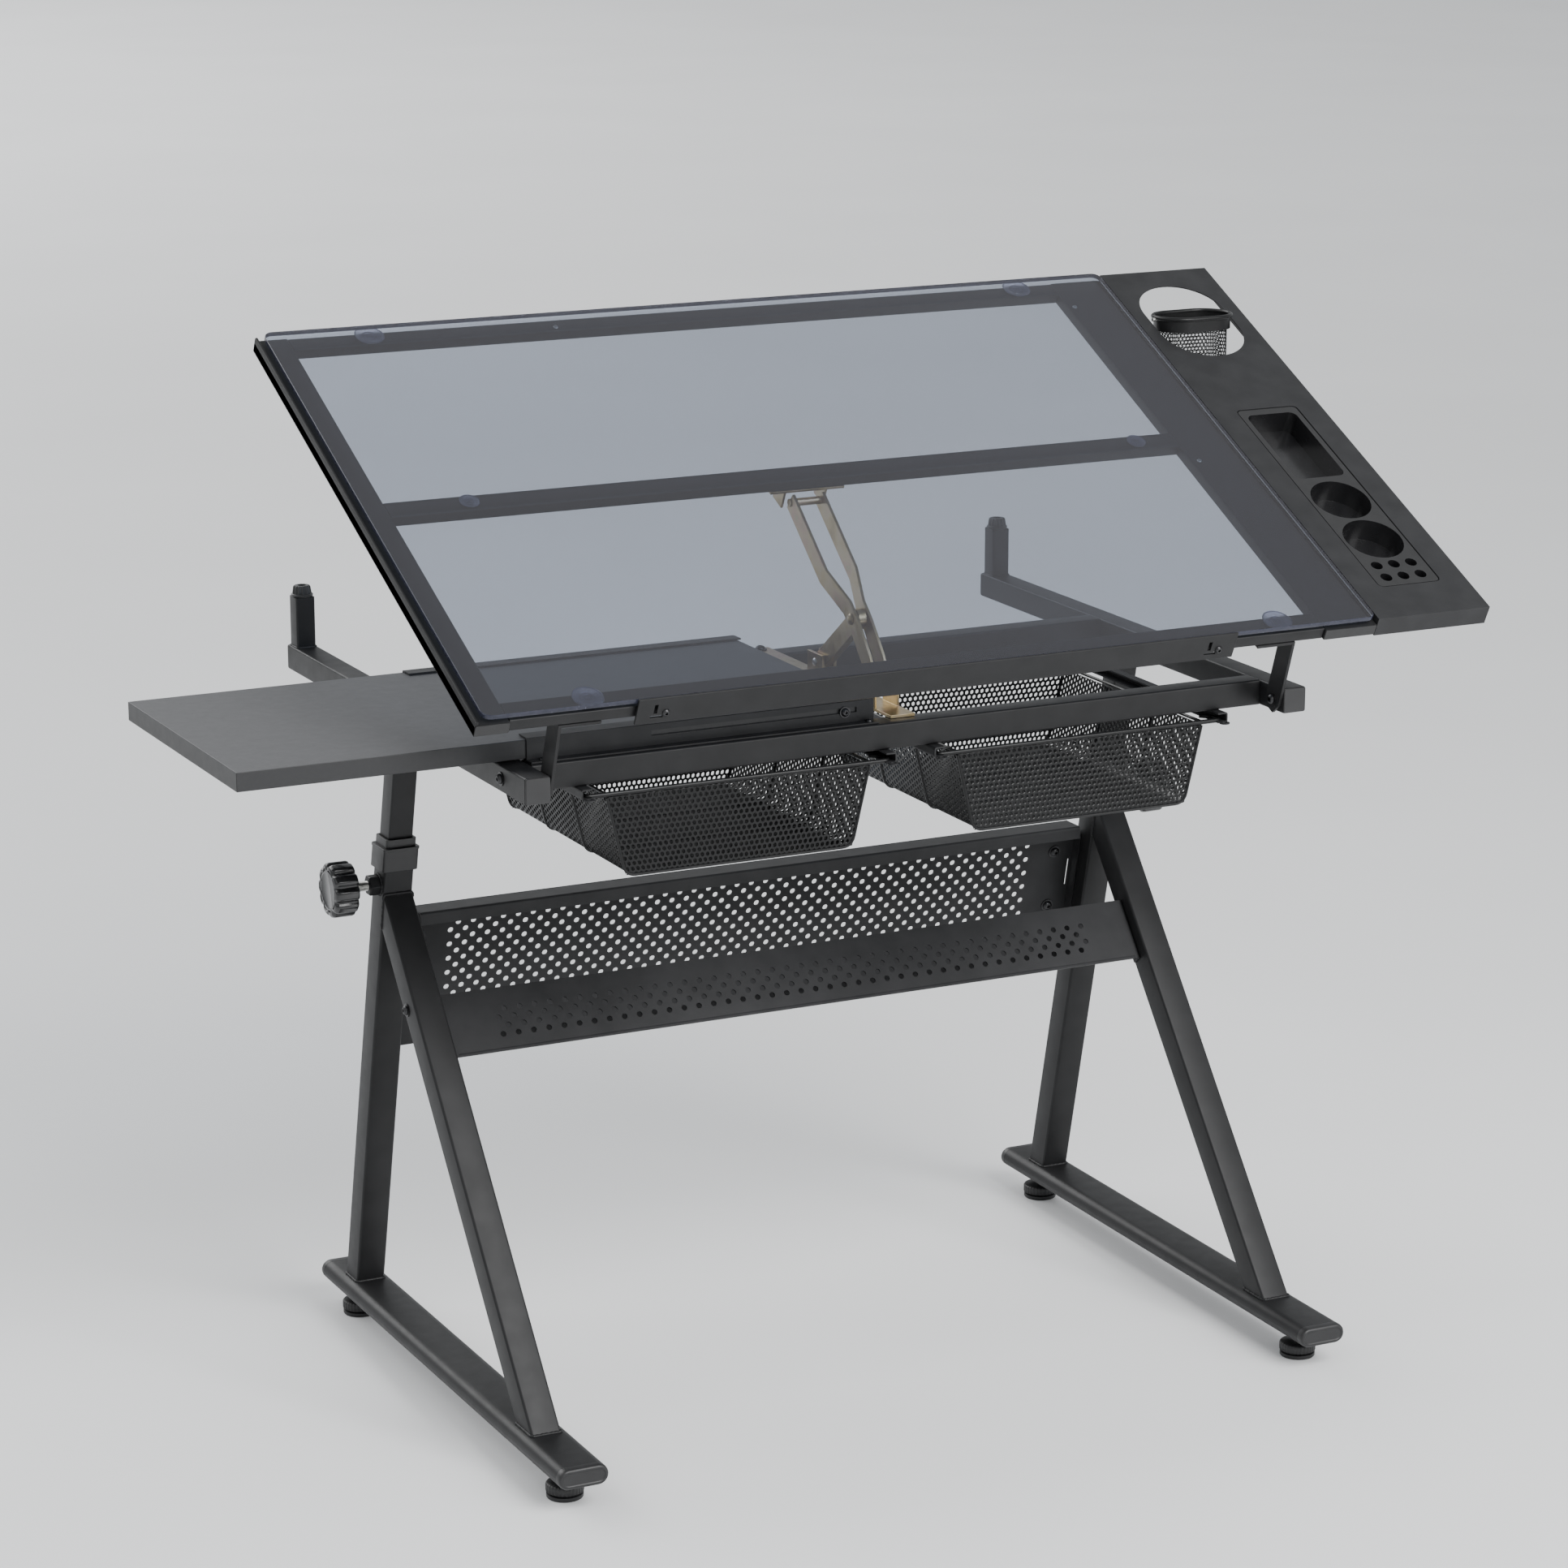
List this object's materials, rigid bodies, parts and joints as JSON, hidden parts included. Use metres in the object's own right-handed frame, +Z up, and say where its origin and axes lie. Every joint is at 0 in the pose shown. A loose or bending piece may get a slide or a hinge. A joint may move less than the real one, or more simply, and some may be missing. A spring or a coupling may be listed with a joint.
{
  "type": "drafting table",
  "caption": "Height-adjustable drafting table with a tilting glass top, tool tray, sliding side shelf, mesh drawers and a perforated rack between its legs.",
  "frame": {"origin": "on the floor under the middle of the object as it stands", "axes": "+X along the table towards the tool tray, +Y away from the user, +Z up"},
  "size_m": [1.263, 0.699, 1.0081],
  "materials": {
    "powder_coat": "fine textured black powder coat",
    "sheet_black": "satin black sheet steel",
    "black_plastic": "moulded black plastic",
    "matte_black_plastic": "matt black plastic",
    "rubber": "matt black rubber",
    "dark_board": "dark grey melamine",
    "blue_glass": "blue tinted tempered glass",
    "clear_vinyl": "translucent vinyl",
    "yellow_zinc": "yellow passivated zinc plate",
    "wire_mesh": "black coated expanded steel mesh"
  },
  "bodies": {
    "stand": {"foot_bar_left": "powder_coat", "foot_cap_front_left": "matte_black_plastic", "foot_cap_back_left": "matte_black_plastic", "back_leg_left": "powder_coat", "front_leg_left": "powder_coat", "leg_collar_left": "matte_black_plastic", "foot_bar_right": "powder_coat", "foot_cap_front_right": "matte_black_plastic", "foot_cap_back_right": "matte_black_plastic", "back_leg_right": "powder_coat", "front_leg_right": "powder_coat", "leg_collar_right": "matte_black_plastic", "rack_back_panel": "sheet_black", "rack_front_panel": "sheet_black"},
    "upper_frame": {"column_left": "powder_coat", "side_rail_left": "powder_coat", "post_bumper_left": "rubber", "drawer_runner_left_a": "sheet_black", "drawer_runner_left_b": "sheet_black", "column_right": "powder_coat", "side_rail_right": "powder_coat", "post_bumper_right": "rubber", "drawer_runner_right_a": "sheet_black", "drawer_runner_right_b": "sheet_black", "front_crossbar": "powder_coat", "rear_crossbar": "powder_coat", "shelf_channel_front": "sheet_black", "shelf_channel_rear": "sheet_black", "lift_base": "yellow_zinc"},
    "table_top": {"glass_top": "blue_glass", "top_bar_left": "powder_coat", "top_bar_right": "powder_coat", "top_bar_front": "powder_coat", "top_bar_middle": "powder_coat", "top_bar_back": "powder_coat", "tray_panel": "sheet_black", "tray_organizer": "black_plastic", "hinge_arm_left": "powder_coat", "hinge_arm_right": "powder_coat", "lift_top_plate": "yellow_zinc", "suction_cup_front_left": "clear_vinyl", "suction_cup_front_right": "clear_vinyl", "suction_cup_middle_left": "clear_vinyl", "suction_cup_middle_right": "clear_vinyl", "suction_cup_back_left": "clear_vinyl", "suction_cup_back_right": "clear_vinyl"},
    "side_shelf": {"side_shelf": "dark_board"},
    "drawer_left": {"mesh_drawer_left": "wire_mesh"},
    "drawer_right": {"mesh_drawer_right": "wire_mesh"},
    "ledge": {"paper_ledge": "sheet_black"},
    "pencil_cup": {"pencil_cup": "wire_mesh"},
    "lift_arms": {"lift_arms": "yellow_zinc"},
    "lift_strut": {"lift_strut": "yellow_zinc"},
    "lift_pawl": {"lift_pawl": "yellow_zinc"},
    "knob_left": {"clamp_knob_left": "black_plastic"},
    "knob_right": {"clamp_knob_right": "black_plastic"},
    "leveller_front_left": {"levelling_foot_front_left": "matte_black_plastic"},
    "leveller_front_right": {"levelling_foot_front_right": "matte_black_plastic"},
    "leveller_back_left": {"levelling_foot_back_left": "matte_black_plastic"},
    "leveller_back_right": {"levelling_foot_back_right": "matte_black_plastic"}
  },
  "joints": [
    {"name": "height_slide", "type": "slide", "parent": "stand", "child": "upper_frame", "axis": [0, -0.2284, 0.9736], "range_m": [-0.105, 0.18]},
    {"name": "top_tilt", "type": "hinge", "parent": "upper_frame", "child": "table_top", "pos_m": [0.0285, -0.2495, 0.662], "axis": [1, 0, 0], "range_deg": [-25.4, 14.2]},
    {"name": "shelf_slide", "type": "slide", "parent": "upper_frame", "child": "side_shelf", "axis": [1, 0, 0], "range_m": [-0.19, 0.006]},
    {"name": "drawer_slide_left", "type": "slide", "parent": "upper_frame", "child": "drawer_left", "axis": [0, -1, 0], "range_m": [0, 0.22]},
    {"name": "drawer_slide_right", "type": "slide", "parent": "upper_frame", "child": "drawer_right", "axis": [0, -1, 0], "range_m": [0, 0.22]},
    {"name": "ledge_drop", "type": "slide", "parent": "table_top", "child": "ledge", "axis": [0, 0.4352, -0.9003], "range_m": [0, 0.012]},
    {"name": "cup_swing", "type": "hinge", "parent": "table_top", "child": "pencil_cup", "pos_m": [0.5655, 0.16997, 0.96847], "axis": [1, 0, 0], "range_deg": [-20, 27]},
    {"name": "lift_arm_pivot", "type": "hinge", "parent": "table_top", "child": "lift_arms", "pos_m": [0.0285, -0.0025, 0.847], "axis": [1, 0, 0], "range_deg": [-11, 6.2]},
    {"name": "lift_pawl_slide", "type": "slide", "parent": "upper_frame", "child": "lift_pawl", "axis": [0, 1, 0], "range_m": [-0.029, 0.049]},
    {"name": "lift_strut_pivot", "type": "hinge", "parent": "lift_pawl", "child": "lift_strut", "pos_m": [0.0285, -0.0375, 0.695], "axis": [1, 0, 0], "range_deg": [-16.5, 28.5]},
    {"name": "knob_turn_left", "type": "hinge", "parent": "stand", "child": "knob_left", "pos_m": [-0.4115, 0.10086, 0.486], "axis": [1, 0, 0], "continuous": true},
    {"name": "knob_turn_right", "type": "hinge", "parent": "stand", "child": "knob_right", "pos_m": [0.4685, 0.10086, 0.486], "axis": [1, 0, 0], "continuous": true},
    {"name": "leveller_turn_front_left", "type": "hinge", "parent": "stand", "child": "leveller_front_left", "pos_m": [-0.3695, -0.3035, 0.01], "axis": [0, 0, 1], "continuous": true},
    {"name": "leveller_turn_front_right", "type": "hinge", "parent": "stand", "child": "leveller_front_right", "pos_m": [0.4265, -0.3035, 0.01], "axis": [0, 0, 1], "continuous": true},
    {"name": "leveller_turn_back_left", "type": "hinge", "parent": "stand", "child": "leveller_back_left", "pos_m": [-0.3695, 0.2205, 0.01], "axis": [0, 0, 1], "continuous": true},
    {"name": "leveller_turn_back_right", "type": "hinge", "parent": "stand", "child": "leveller_back_right", "pos_m": [0.4265, 0.2205, 0.01], "axis": [0, 0, 1], "continuous": true}
  ],
  "couplings": [
    {"joint": "lift_arm_pivot", "follows": "top_tilt", "ratio": 0.41},
    {"joint": "lift_pawl_slide", "follows": "top_tilt", "m_per_rad": -0.106},
    {"joint": "lift_strut_pivot", "follows": "top_tilt", "ratio": -1.08}
  ]
}
